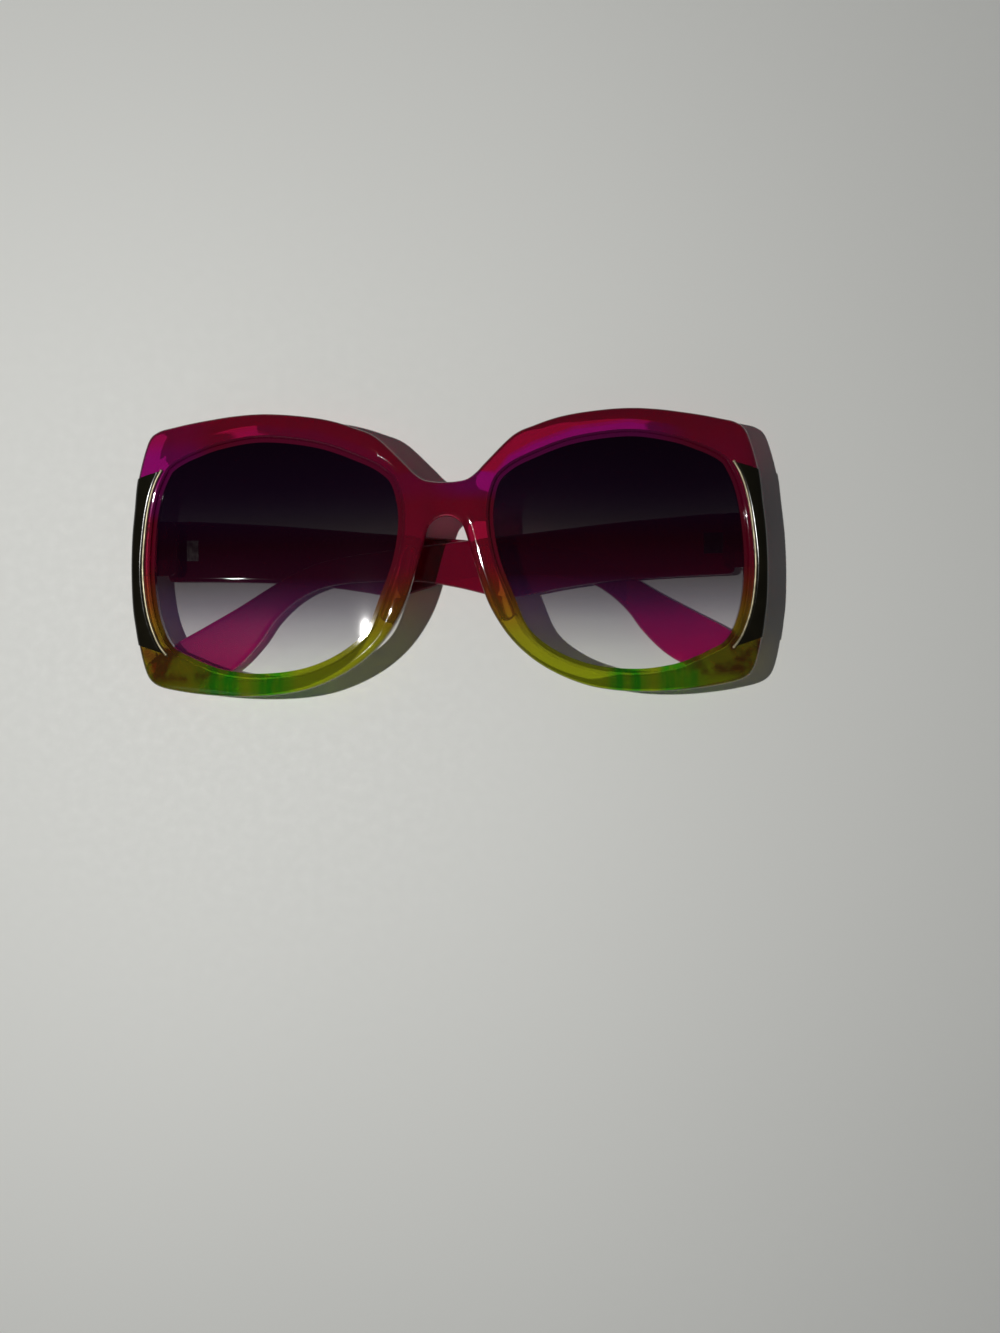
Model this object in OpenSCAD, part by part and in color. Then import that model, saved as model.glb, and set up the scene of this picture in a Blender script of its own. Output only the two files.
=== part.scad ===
// Oversized square sunglasses, lying folded with the front facing up
// +X is the wearer's left, +Y is up on the face, +Z is away from the face

/* [Lenses] */
// Width of one lens opening
lens_w = 61; // [57:0.1:63]
// Height of one lens opening
lens_h = 56.3; // [52:0.1:60]
// Gap across the nose between the two lens openings
lens_gap = 20.2; // [19:0.1:23]
// Thickness of a lens
lens_t = 2; // [1.6:0.1:2.2]
// How far a lens reaches into its groove
lens_seat = 0.9; // [0.6:0.1:1.2]
// Depth of the lens face below the crown of the rim
lens_sink = 1.5; // [1.2:0.1:1.7]

/* [Front] */
// Width of the rim above a lens
rim_w = 5; // [4.6:0.1:5.6]
// Thickness of the rim at its crown
rim_t = 4.4; // [4.2:0.1:5.4]
// Radius of the front's curve round the face
wrap_r = 340; // [240:5:600]
// Height of the bridge at the middle
bridge_h = 7.8; // [6:0.1:9]
// Radius of the arch over the nose
arch_r = 4.6; // [4:0.1:5.2]
// Height of the arch's centre above the middle of the front
arch_y = 4.1; // [3:0.1:5]
// How far the nose pads stand behind the rim
pad_depth = 3.4; // [2:0.1:4.5]
// How far an end piece stands behind the rim
end_depth = 4.6; // [4:0.1:6]
// Height of an end piece
end_h = 13; // [11:0.1:15]

/* [Side trims] */
// Width of the rim left between the edge of a lens and the wire
trim_lip = 0.4; // [0.3:0.05:0.7]
// Width of the inlaid wire
wire_w = 0.6; // [0.4:0.05:0.8]
// Depth of the recess that holds a trim and its wire
trim_depth = 2.2; // [1.6:0.1:2.6]
// How far a trim stands outside the rim
trim_proud = 0.2; // [0:0.05:0.4]

/* [Temples] */
// Thickness of a temple
temple_t = 3; // [2.6:0.1:3.4]
// Height of a temple beside its hinge
temple_h = 14.9; // [13.5:0.1:15.6]
// Length of a temple from its hinge to the end of its tip
temple_len = 141; // [134:1:146]
// Degrees by which the right temple is bent up at its hinge
right_bend = 1; // [0:0.25:1.25]
// How far the end of a tip curls towards the head
tip_curl = 1.2; // [0:0.1:1.5]
// Radius of the edges of a temple
temple_edge = 0.7; // [0.3:0.1:1]
// Gap between the two folded temples
fold_gap = 0.3; // [0.2:0.05:0.8]

/* [Hinges] */
// Distance of a hinge axis inside the widest point of the front
hinge_inset = 7.8; // [7:0.1:9]
// Height of the hinge centres above the middle of the front
hinge_y = 2.8; // [1:0.1:5]
// Height of a hinge over its three knuckles
hinge_h = 5; // [4.4:0.1:6]
// Radius of a knuckle
knuckle_r = 1.5; // [1.4:0.05:1.7]
// Radius of a hinge screw's shaft
screw_r = 0.6; // [0.5:0.05:0.7]
// Radius of a hinge screw's head
head_r = 1.1; // [0.9:0.05:1.3]
// Height of a hinge screw's head
head_h = 0.6; // [0.4:0.05:0.8]
// Thickness of a hinge leaf
leaf_t = 0.9; // [0.7:0.05:1]
// Length of the leaf in a temple
temple_leaf_len = 6.4; // [5:0.1:9]
// Length of the leaf in an end piece
front_leaf_len = 4.6; // [4:0.1:5.2]

/* [Hidden] */

LEFT = 1;
RIGHT = -1;
$fn = 48;

// Clearances: between set pieces, on the turning knuckle, and beside what swings
fit_gap = 0.05;
run_gap = 0.03;
swing_gap = 0.1;

// Each row is one station round a lens, clockwise from the top: the place on the opening in
// half widths and half heights, then the step out to the edge of the front in rim widths
stations = [
  [0.074, 1.000, 0.00, 1.13],
  [0.411, 0.957, 0.50, 1.20],
  [0.633, 0.883, 1.06, 1.32],
  [0.741, 0.833, 1.16, 1.40],
  [0.801, 0.794, 1.26, 1.12],
  [0.848, 0.741, 1.46, -0.22],
  [0.926, 0.556, 1.18, -0.70],
  [0.976, 0.290, 1.02, -0.60],
  [1.000, -0.083, 0.92, -0.10],
  [0.970, -0.421, 1.06, 0.20],
  [0.902, -0.652, 1.34, 0.40],
  [0.828, -0.769, 1.66, 0.30],
  [0.768, -0.812, 1.72, -0.66],
  [0.697, -0.847, 1.70, -1.10],
  [0.596, -0.897, 1.30, -1.14],
  [0.414, -0.964, 0.48, -1.02],
  [0.121, -1.000, 0.00, -0.88],
  [-0.222, -0.961, -0.16, -0.80],
  [-0.512, -0.837, -0.48, -0.58],
  [-0.727, -0.645, -0.72, -0.32],
  [-0.845, -0.361, -1.06, -0.16],
  [-0.956, -0.030, -1.00, -0.06],
  [-1.000, 0.307, -1.14, -0.20],
  [-0.956, 0.577, -1.08, 0.20],
  [-0.855, 0.709, -0.88, 0.58],
  [-0.670, 0.815, -0.86, 0.90],
  [-0.347, 0.940, -0.54, 1.08]
];
station_n = len(stations);
steps_per_station = 4;

// Stations between which the side trim lies, and how far the pieces stop short of the recess
trim_from = 5;
trim_to = 11;
trim_short = 0.015;
trim_steps = 22;

// Lines across a temple from its hinge end to its tip, on one 138.8 long and 14.9 high at the
// hinge: the distance along and the height of its lower edge, then of its upper edge
temple_rows = [
  [-1.1, -6.8, -1.1, 6.2], [-0.5, -7.45, -0.5, 6.95], [1.2, -7.7, 1.2, 7.2], [5, -7.8, 5, 7.1],
  [13, -8.1, 13, 6.5], [26, -8.8, 26, 5.4], [38, -10.2, 40, 3.9], [46, -11.6, 47, 3.1],
  [50.6, -12.5, 51, 2.7], [53.6, -12.8, 54, 2.4], [56.4, -12.4, 57, 2.1], [60, -11.4, 61, 1.6],
  [66, -9.9, 67, 1], [74, -8.6, 76, 0], [84, -8.4, 87, -1.3], [94, -9, 97, -3],
  [100, -10.6, 103.8, -5.6], [105, -13.6, 111, -9.8], [109.5, -18, 118, -14.2],
  [113, -23, 126, -18.8], [117.6, -28, 133.6, -23.2], [122.2, -31.2, 138, -27],
  [127, -32.8, 138.8, -30], [131.4, -33.2, 137.4, -31.9], [134, -32.9, 136, -32.7]
];
rows_len = 138.8;
rows_h = 14.9;
temple_steps = 2;

// Cross section of a temple: share of the way up, step in from the edge, depth below its face
temple_profile = [
  [0, temple_edge, 0], [1, -temple_edge, 0], [1, -temple_edge * 0.3, temple_edge * 0.3],
  [1, 0, temple_edge], [1, 0, temple_t - temple_edge],
  [1, -temple_edge * 0.3, temple_t - temple_edge * 0.3], [1, -temple_edge, temple_t],
  [0, temple_edge, temple_t], [0, temple_edge * 0.3, temple_t - temple_edge * 0.3],
  [0, 0, temple_t - temple_edge], [0, 0, temple_edge], [0, temple_edge * 0.3, temple_edge * 0.3]
];

// Cross section of the rim: share of the way out, and height over the curve of the front
rim_back = -rim_t;
rim_profile = [
  [0.00, -1.00], [0.08, -0.40], [0.30, -0.08], [0.55, 0.00], [0.84, -0.25], [0.96, -0.60],
  [1.00, -1.10], [1.00, rim_back + 0.80], [0.93, rim_back + 0.12], [0.85, rim_back],
  [0.12, rim_back], [0.00, rim_back + 0.30]
];

// Centre of a lens opening, which also centres the height of the front on Y
lens_x = (lens_gap + lens_w) / 2;
lens_y = -0.0628 * rim_w;
half_w = lens_x + lens_w / 2 + 0.94 * rim_w + trim_proud;
bridge_top = arch_y + arch_r + bridge_h;

// Hinge axes in the front's own frame, and the slope at which the front lies on its temples
hinge_x = half_w - hinge_inset;
temple_face = knuckle_r + swing_gap;
joint_drop = 1.2;
end_z = arc_z(hinge_x) - rim_t - end_depth;
hinge_z = end_z - joint_drop;
lie_angle = asin((temple_t + fold_gap) / (2 * hinge_x));
side_z = arc_z(half_w) - rim_t / 2;
front_x = side_z * sin(lie_angle);
front_z = temple_t + temple_face + hinge_x * sin(lie_angle) - hinge_z * cos(lie_angle);
middle_knuckle_h = hinge_h * 0.36;
outer_knuckle_h = (hinge_h - middle_knuckle_h) / 2 - fit_gap;

// Height of the curve of the front over its middle
function arc_z(x) = sqrt(wrap_r * wrap_r - x * x) - wrap_r;

// Smooth curve through b and c, with a and d as its neighbours
function smooth(a, b, c, d, t) =
  0.5 * (2 * b + (c - a) * t + (2 * a - 5 * b + 4 * c - d) * t * t
  + (3 * (b - c) + d - a) * t * t * t);

function wrap_row(rows, i) = rows[(i + 2 * len(rows)) % len(rows)];

function on_loop(rows, t) =
  let (i = floor(t), f = t - floor(t))
  smooth(wrap_row(rows, i - 1), wrap_row(rows, i), wrap_row(rows, i + 1),
    wrap_row(rows, i + 2), f);

function opening(t) =
  let (r = on_loop(stations, t))
  [lens_x + r[0] * lens_w / 2, lens_y + r[1] * lens_h / 2];

function rim_edge(t) =
  let (r = on_loop(stations, t))
  opening(t) + rim_w * [r[2], r[3]];

function outward(t) =
  let (d = opening(t + 0.05) - opening(t - 0.05))
  [-d[1], d[0]] / norm(d);

function opening_grown(by) =
  [for (k = [0 : station_n * steps_per_station - 1])
    opening(k / steps_per_station) + by * outward(k / steps_per_station)];

function ring(pair, profile) =
  [for (p = profile)
    let (q = pair[0] + (pair[1] - pair[0]) * p[0])
    [q[0], q[1], arc_z(q[0]) + p[1]]];

// A solid through rings of points, each ring with as many points as the next
module skin(rings, closed = false) {
  n = len(rings);
  m = len(rings[0]);
  sides = [
    for (i = [0 : closed ? n - 1 : n - 2], j = [0 : m - 1])
    let (a = i * m + j, b = i * m + (j + 1) % m, c = ((i + 1) % n) * m + (j + 1) % m,
      d = ((i + 1) % n) * m + j)
    each [[a, b, c], [a, c, d]]
  ];
  ends = closed ? [] : [[for (j = [m - 1 : -1 : 0]) j], [for (j = [0 : m - 1]) (n - 1) * m + j]];
  polyhedron([for (r = rings) each r], concat(sides, ends));
}

// A bar along the curve of the front, whose profile spans each pair of points
module band(pairs, profile, closed = false) {
  skin([for (pair = pairs) ring(pair, profile)], closed);
}

// Everything between two depths behind the crown, along the whole curve of the front
module shell(front, back) {
  difference() {
    translate([0, 0, -wrap_r]) rotate([90, 0, 0])
      cylinder(r = wrap_r - front, h = wrap_r, center = true, $fn = 360);
    translate([0, 0, -wrap_r]) rotate([90, 0, 0])
      cylinder(r = wrap_r - back, h = 1.1 * wrap_r, center = true, $fn = 360);
    translate([-wrap_r, -wrap_r, -2.2 * wrap_r]) cube([2 * wrap_r, 2 * wrap_r, 1.6 * wrap_r]);
  }
}

module both_sides() {
  children();
  mirror([1, 0, 0]) children();
}

// Sets what is drawn in the front's own frame down on the folded temples
module on_front() {
  translate([front_x, 0, front_z]) rotate([0, -lie_angle, 0]) children();
}

module on_side(side) {
  mirror([side == LEFT ? 0 : 1, 0, 0]) children();
}

function hinge_at(side) = [
  front_x + side * hinge_x * cos(lie_angle) - hinge_z * sin(lie_angle),
  hinge_y,
  front_z + side * hinge_x * sin(lie_angle) + hinge_z * cos(lie_angle)
];

module lens_shape(seat, gap) {
  intersection() {
    translate([0, 0, -60]) linear_extrude(100) polygon(opening_grown(seat));
    shell(lens_sink - gap, lens_sink + lens_t + gap);
  }
}

module rim() {
  band([for (k = [0 : station_n * steps_per_station - 1])
    let (t = k / steps_per_station) [opening(t), rim_edge(t)]], rim_profile, true);
}

// The bridge spans from arch to brow, and runs a little way into both rims
function arch_edge(x) =
  arch_y + (abs(x) < arch_r ? sqrt(arch_r * arch_r - x * x) : 0);

module bridge() {
  reach = arch_r + 2.2;
  steps = 18;
  band([for (i = [0 : steps])
    let (x = -reach + 2 * reach * i / steps)
    [[x, arch_edge(x)], [x, bridge_top + 0.02 * x * x]]], rim_profile);
}

// Points behind the nose edge of the rim that a pad is blended through
module nose_pad() {
  hull() {
    for (p = [[21.2, 0.35, 1.5], [20.6, 0.75, 1.7], [20.1, 1.0, 1.6], [19.6, 0.55, 1.4]]) {
      at = (opening(p[0]) + rim_edge(p[0])) / 2 + [0.2, 0];
      z = arc_z(at[0]) - rim_t;
      translate([at[0], at[1], z - pad_depth * p[1] + p[2]]) sphere(r = p[2], $fn = 20);
      translate([at[0], at[1], z + 1.2]) sphere(r = 1.3, $fn = 14);
    }
  }
}

// The lug behind the rim that the hinge is set into
module end_piece() {
  lens_edge = lens_x + lens_w / 2 + lens_seat;
  top = arc_z(lens_edge) - lens_sink - lens_t - 2 * fit_gap - 0.1;
  inner = hinge_x - 2.6;
  outer = half_w - trim_proud - 1;
  r = 1.6;
  hull() {
    for (x = [inner + r, outer - r], y = [-end_h / 2 + r, end_h / 2 - r]) {
      translate([x, hinge_y + y, end_z + 0.6]) cylinder(r = r, h = top - end_z - 0.6, $fn = 24);
      translate([x, hinge_y + y, end_z]) cylinder(r = r - 0.5, h = 0.7, $fn = 24);
    }
  }
}

module leaf_pegs(gap = 0) {
  for (y = [-1, 1]) translate([0, y * hinge_h * 0.28, 0])
    cylinder(r = 0.45 + gap, h = leaf_t + 1 + gap);
}

// The wire starts close to the lens and moves off to the full lip
function wire_line(t) =
  opening(t) + outward(t) * (lens_seat + 2 * fit_gap + (trim_lip - 2 * fit_gap)
  * min(1, 0.35 + 1.3 * (t - trim_from)));

// The line across the rim at one place, from the wire to the edge, and a point along it
function across(t) =
  let (d = rim_edge(t) - wire_line(t))
  d / norm(d);

function from_wire(t, by) = wire_line(t) + across(t) * by;

function from_edge(t, by) = rim_edge(t) + across(t) * by;

// The recess along the side of a rim, from the wire's inner edge out past the edge of the front
module side_recess() {
  band([for (i = [0 : trim_steps])
    let (t = trim_from + (trim_to - trim_from) * i / trim_steps)
    [wire_line(t), from_edge(t, 3)]],
    [[0, 3], [1, 3], [1, -trim_depth], [0, -trim_depth]]);
}

function trim_t(i) =
  trim_from + trim_short + (trim_to - trim_from - 2 * trim_short) * i / trim_steps;

module side_trim(side) {
  color([0.13, 0.13, 0.1]) on_front() on_side(side)
    band([for (i = [0 : trim_steps])
      let (t = trim_t(i))
      [from_wire(t, wire_w + 3 * fit_gap), from_edge(t, trim_proud)]],
      [[0, -0.2], [0.12, 0.05], [0.5, 0.1], [0.82, -0.15], [0.95, -0.5], [1, -1],
      [1, -trim_depth + fit_gap], [0, -trim_depth + fit_gap]]);
}

module trim_wire(side) {
  color([0.86, 0.82, 0.72]) on_front() on_side(side)
    band([for (i = [0 : trim_steps])
      let (t = trim_t(i))
      [from_wire(t, 1.5 * fit_gap), from_wire(t, wire_w + 1.5 * fit_gap)]],
      [[0, 0], [0.2, 0.2], [0.5, 0.3], [0.8, 0.2], [1, 0],
      [1, -trim_depth + fit_gap], [0, -trim_depth + fit_gap]]);
}

module front_frame() {
  color([0.72, 0.05, 0.36]) on_front()
    difference() {
      union() {
        bridge();
        both_sides() {
          rim();
          nose_pad();
          end_piece();
        }
      }
      both_sides() {
        lens_shape(lens_seat + fit_gap, fit_gap);
        side_recess();
        translate([hinge_x, hinge_y, hinge_z]) hinge_relief();
      }
    }
}

// What the hinge takes out of an end piece: the leaf's seat, its pegs and the knuckles' groove
module hinge_relief() {
  translate([-knuckle_r - fit_gap, -hinge_h / 2 - fit_gap, joint_drop - 1])
    cube([front_leaf_len + knuckle_r + 2 * fit_gap, hinge_h + 2 * fit_gap, leaf_t + 1 + fit_gap]);
  translate([front_leaf_len - 1.2, 0, joint_drop]) leaf_pegs(fit_gap);
  translate([0, hinge_h / 2 + head_h + 2 * swing_gap, 0]) rotate([90, 0, 0])
    cylinder(r = knuckle_r + swing_gap, h = hinge_h + head_h + 3 * swing_gap);
}

module lens(side) {
  color([0.35, 0.2, 0.42, 0.6]) on_front() on_side(side) lens_shape(lens_seat, 0);
}

module knuckle(h, bore) {
  rotate([90, 0, 0]) difference() {
    cylinder(r = knuckle_r, h = h, center = true);
    cylinder(r = bore, h = h + 1, center = true);
  }
}

// Two knuckles and the plate that is set into the back of an end piece
module front_leaf(side) {
  offset_y = (hinge_h - outer_knuckle_h) / 2;
  color([0.35, 0.35, 0.37]) on_front() on_side(side)
    translate([hinge_x, hinge_y, hinge_z])
      difference() {
        union() {
          for (end = [-1, 1]) {
            translate([0, end * offset_y, 0]) knuckle(outer_knuckle_h, screw_r + 0.02);
            translate([-0.8, end * offset_y - outer_knuckle_h / 2, screw_r + 0.3])
              cube([1.6, outer_knuckle_h, joint_drop + 0.2 - screw_r]);
          }
          translate([-knuckle_r, -hinge_h / 2, joint_drop])
            cube([front_leaf_len + knuckle_r, hinge_h, leaf_t]);
          translate([front_leaf_len - 1.2, 0, joint_drop]) leaf_pegs();
        }
        rotate([90, 0, 0])
          cylinder(r = knuckle_r + swing_gap, h = middle_knuckle_h + 2 * fit_gap, center = true);
        rotate([90, 0, 0]) cylinder(r = screw_r + 0.02, h = hinge_h + 1, center = true);
      }
}

module hinge_screw(side) {
  color([0.75, 0.73, 0.7]) on_front() on_side(side)
    translate([hinge_x, hinge_y, hinge_z])
      difference() {
        union() {
          rotate([90, 0, 0]) cylinder(r = screw_r, h = hinge_h, center = true);
          translate([0, hinge_h / 2 + head_h, 0]) rotate([90, 0, 0]) cylinder(r = head_r, h = head_h);
        }
        translate([-head_r - 1, hinge_h / 2 + head_h / 2, -0.15]) cube([2 * head_r + 2, head_h, 0.3]);
      }
}

// One knuckle and the plate that is set into the inner face of a temple, folded along +X
module temple_leaf_shape() {
  difference() {
    union() {
      knuckle(middle_knuckle_h, screw_r + run_gap);
      translate([-0.7, -middle_knuckle_h / 2, -temple_face - leaf_t / 2])
        cube([1.4, middle_knuckle_h, temple_face + leaf_t / 2 - screw_r - 0.2]);
      translate([-0.7, -hinge_h / 2, -temple_face - leaf_t])
        cube([temple_leaf_len + 0.7, hinge_h, leaf_t]);
      translate([temple_leaf_len - 1.4, 0, -temple_face]) mirror([0, 0, 1]) leaf_pegs();
    }
    rotate([90, 0, 0]) cylinder(r = screw_r + run_gap, h = hinge_h, center = true);
  }
}

module temple_leaf(side) {
  color([0.35, 0.35, 0.37]) translate(hinge_at(side)) on_side(-side) temple_leaf_shape();
}

// Leaves room in a temple for its leaf
module temple_leaf_seat() {
  translate([-0.7 - fit_gap, -hinge_h / 2 - fit_gap, -temple_face - leaf_t - fit_gap])
    cube([temple_leaf_len + 0.7 + 2 * fit_gap, hinge_h + 2 * fit_gap, leaf_t + 1]);
  translate([temple_leaf_len - 1.4, 0, -temple_face]) mirror([0, 0, 1]) leaf_pegs(fit_gap);
}

function temple_line(t) =
  let (i = floor(t), last = len(temple_rows) - 1)
  smooth(temple_rows[max(i - 1, 0)], temple_rows[i], temple_rows[min(i + 1, last)],
    temple_rows[min(i + 2, last)], t - i);

function curl(s) = tip_curl * pow(max(0, s / temple_len - 0.79) / 0.21, 2);

function temple_ring(t, bend) =
  let (r = temple_line(t), along = temple_len / rows_len, tall = temple_h / rows_h,
    low = [r[0] * along, r[1] * tall], high = [r[2] * along, r[3] * tall],
    way = (high - low) / norm(high - low))
  [for (p = temple_profile)
    let (q = low + (high - low) * p[0] + way * p[1])
    [q[0] * cos(bend) - q[1] * sin(bend), q[0] * sin(bend) + q[1] * cos(bend),
      curl(q[0]) - temple_face - p[2]]];

module temple_shape(bend) {
  steps = (len(temple_rows) - 1) * temple_steps;
  difference() {
    skin([for (i = [0 : steps]) temple_ring(i / temple_steps, bend)]);
    temple_leaf_seat();
  }
}

module temple(side) {
  color([0.66, 0.02, 0.36]) translate(hinge_at(side)) on_side(-side)
    temple_shape(side == RIGHT ? right_bend : 0);
}

front_frame();
lens(LEFT);  // left_lens
lens(RIGHT);  // right_lens
side_trim(LEFT);  // left_side_trim
side_trim(RIGHT);  // right_side_trim
trim_wire(LEFT);  // left_trim_wire
trim_wire(RIGHT);  // right_trim_wire
front_leaf(LEFT);  // left_front_leaf
front_leaf(RIGHT);  // right_front_leaf
hinge_screw(LEFT);  // left_hinge_screw
hinge_screw(RIGHT);  // right_hinge_screw
temple(LEFT);  // left_temple
temple(RIGHT);  // right_temple
temple_leaf(LEFT);  // left_temple_leaf
temple_leaf(RIGHT);  // right_temple_leaf
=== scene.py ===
"""Oversized square sunglasses, lying folded with the front facing up."""

import math

import bmesh
import bpy
import numpy as np
from bpy.props import FloatProperty, FloatVectorProperty, PointerProperty
from mathutils import Matrix, Vector
from mathutils.geometry import delaunay_2d_cdt


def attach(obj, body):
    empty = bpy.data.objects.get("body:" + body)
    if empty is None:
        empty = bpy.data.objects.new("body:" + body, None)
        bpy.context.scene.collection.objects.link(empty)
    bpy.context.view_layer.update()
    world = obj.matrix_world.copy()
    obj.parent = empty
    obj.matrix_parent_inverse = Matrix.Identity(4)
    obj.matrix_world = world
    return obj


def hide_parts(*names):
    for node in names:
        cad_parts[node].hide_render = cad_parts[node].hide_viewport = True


bl_info = {
    "name": "Oversized square sunglasses",
    "version": (1, 0, 0),
    "blender": (4, 5, 0),
    "location": "View3D > Sidebar > Sunglasses",
    "description": "Builds a pair of folded oversized square sunglasses round its fixed frame",
    "category": "Add Mesh",
}

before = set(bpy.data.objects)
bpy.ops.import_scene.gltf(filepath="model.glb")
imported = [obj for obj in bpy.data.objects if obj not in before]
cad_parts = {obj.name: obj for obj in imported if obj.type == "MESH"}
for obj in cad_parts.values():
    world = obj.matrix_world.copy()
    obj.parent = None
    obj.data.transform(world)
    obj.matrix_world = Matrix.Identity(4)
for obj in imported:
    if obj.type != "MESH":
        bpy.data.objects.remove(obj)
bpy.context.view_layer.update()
MM = 0.001
# Farther than any two places on the sunglasses, millimetres
FAR = 1e9
LEFT, RIGHT = 1, -1
SIDES = (("left", LEFT), ("right", RIGHT))

# Stations round a lens, clockwise from the top: the place on the opening in half widths and half
# heights, then the step out to the edge of the front in rim widths
STATIONS = np.array([
    (0.074, 1.000, 0.00, 1.13), (0.411, 0.957, 0.50, 1.20), (0.633, 0.883, 1.06, 1.32),
    (0.741, 0.833, 1.16, 1.40), (0.801, 0.794, 1.26, 1.12), (0.848, 0.741, 1.46, -0.22),
    (0.926, 0.556, 1.18, -0.70), (0.976, 0.290, 1.02, -0.60), (1.000, -0.083, 0.92, -0.10),
    (0.970, -0.421, 1.06, 0.20), (0.902, -0.652, 1.34, 0.40), (0.828, -0.769, 1.66, 0.30),
    (0.768, -0.812, 1.72, -0.66), (0.697, -0.847, 1.70, -1.10), (0.596, -0.897, 1.30, -1.14),
    (0.414, -0.964, 0.48, -1.02), (0.121, -1.000, 0.00, -0.88), (-0.222, -0.961, -0.16, -0.80),
    (-0.512, -0.837, -0.48, -0.58), (-0.727, -0.645, -0.72, -0.32), (-0.845, -0.361, -1.06, -0.16),
    (-0.956, -0.030, -1.00, -0.06), (-1.000, 0.307, -1.14, -0.20), (-0.956, 0.577, -1.08, 0.20),
    (-0.855, 0.709, -0.88, 0.58), (-0.670, 0.815, -0.86, 0.90), (-0.347, 0.940, -0.54, 1.08),
])

# Stations that the side inlay runs between, and how far it ends short of its recess, in stations
TRIM_FROM, TRIM_TO, TRIM_SHORT = 5, 11, 0.015

# In rim widths: the middle of the openings below the origin, and the front's side past an opening
CENTRE_DROP, SIDE_REACH = 0.0628, 0.94

# From here on in millimetres, apart from shares, stations and turns. How much further the side goes
SIDE_MORE = 0.2
# The hinge axis in from the front's side, and above the origin
HINGE_IN, HINGE_UP = 7.8, 2.8
# An end piece behind the rim, the hinge axis behind that, and from the axis to a temple's face
END_DEPTH, JOINT_DROP, TEMPLE_FACE = 4.6, 1.2, 1.6
# The wire outside the lens opening: at the least, and how much is added along it
WIRE_OUT, WIRE_SWAY = 1.0, 0.3
# Share of that addition at the wire's upper end, and how much the share grows per station
SWAY_START, SWAY_RATE = 0.35, 1.3
# Most that the rounding takes off the front, and off the back
CROWN_DROP, BACK_DROP = 1.3, 0.9
# A lens past its opening and behind the crown, and its groove: depth, front wall and back wall
LENS_SEAT, LENS_DEPTH = 0.9, 1.5
GROOVE_DEPTH, GROOVE_FRONT, GROOVE_BACK = 0.95, -1.45, -3.55
# The arch of the bridge: height of its centre, radius, and the height of the bridge's upper edge
ARCH_Y, ARCH_R, BRIDGE_TOP = 4.1, 4.6, 16.5
# Balls of a nose pad: station, reach as a share of the longest reach, radius. Then that longest
# reach behind the rim, and how far the pad lies aside
PAD_BALLS = ((21.2, 0.35, 1.5), (20.6, 0.75, 1.7), (20.1, 1.0, 1.6), (19.6, 0.55, 1.4))
PAD_REACH, PAD_ASIDE = 3.4, 0.2
# Balls of the pad's root inside the rim: height over the rim's back, and radius
PAD_ROOT_UP, PAD_ROOT_R = 1.2, 1.3
# An end piece: radius of its corners, half height, and its top behind the crown
END_CORNER, END_HALF_H, END_TOP = 1.6, 6.5, 3.7
# Its inner end from the hinge, and its outer end from the front's side
END_IN, END_OUT = 2.6, 1.2
# Its rounded edge: height above the lower face against what the corner radius loses
END_EDGE = ((0.6, 0.0), (0.3, 0.12), (0.1, 0.3), (0.0, 0.55))
# Half height of a hinge leaf's seat, and the depth of the seat in a temple
SEAT_HALF_H, SEAT_DEPTH = 2.55, 0.95
# From the hinge axis: the seat in an end piece, sideways and in depth, and the seat along a temple
SEAT_X, SEAT_Z, TEMPLE_SEAT_X = (-1.55, 4.65), (0.2, 2.15), (-0.75, 6.45)
# The groove that the knuckles turn in: its radius, and its ends from the middle of the hinge
KNUCKLE_ROOM, KNUCKLE_ENDS = 1.6, (-2.7, 3.3)
# Top, bottom and outer reach of the recess for the side inlay
RECESS_TOP, RECESS_LOW, RECESS_OUT = 3, -2.2, 3
# Section of the side inlay: share of the way out, and height over the crown
TRIM_PROFILE = (
    (0, -0.3), (0.02, -0.16), (0.07, -0.02), (0.2, 0.08), (0.45, 0.1), (0.68, 0.0), (0.84, -0.17),
    (0.93, -0.38), (0.98, -0.65), (1, -1), (1, -2.15), (0, -2.15),
)
# Gap of the wire on both sides, its middle behind the crown, and how far the inlay stands out
WIRE_GAP, WIRE_DEPTH, TRIM_OUT = 0.075, 0.03, 0.2
# Points along the recess, the inlay and the wire
RECESS_POINTS, TRIM_POINTS, WIRE_POINTS = 73, 85, 121
# Rings of a lens's face: shares of the way out to its edge, and how far the face drops there
LENS_RINGS = 33
LENS_SHARES = (*np.linspace(0, 0.96, LENS_RINGS), 0.985, 1.0)
LENS_DROPS = (*[0] * LENS_RINGS, 0.03, 0.25)
# Share of the innermost ring, which is a face and not a point
LENS_HUB = 0.02

# Lines across a temple from its hinge end to its tip, on one ROWS_LENGTH long: the distance along
# and the height of its lower edge, then of its upper edge, millimetres
TEMPLE_ROWS = np.array([
    (-1.1, -6.8, -1.1, 6.2), (-0.5, -7.45, -0.5, 6.95), (1.2, -7.7, 1.2, 7.2), (5, -7.8, 5, 7.1),
    (13, -8.1, 13, 6.5), (26, -8.8, 26, 5.4), (38, -10.2, 40, 3.9), (46, -11.6, 47, 3.1),
    (50.6, -12.5, 51, 2.7), (53.6, -12.8, 54, 2.4), (56.4, -12.4, 57, 2.1), (60, -11.4, 61, 1.6),
    (66, -9.9, 67, 1), (74, -8.6, 76, 0), (84, -8.4, 87, -1.3), (94, -9, 97, -3),
    (100, -10.6, 103.8, -5.6), (105, -13.6, 111, -9.8), (109.5, -18, 118, -14.2),
    (113, -23, 126, -18.8), (117.6, -28, 133.6, -23.2), (122.2, -31.2, 138, -27),
    (127, -32.8, 138.8, -30), (131.4, -33.2, 137.4, -31.9), (134, -32.9, 136, -32.7),
])
ROWS_LENGTH = 138.8

# Turn of the right temple in its own plane, towards the brow
RIGHT_BEND = math.radians(1)

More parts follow.
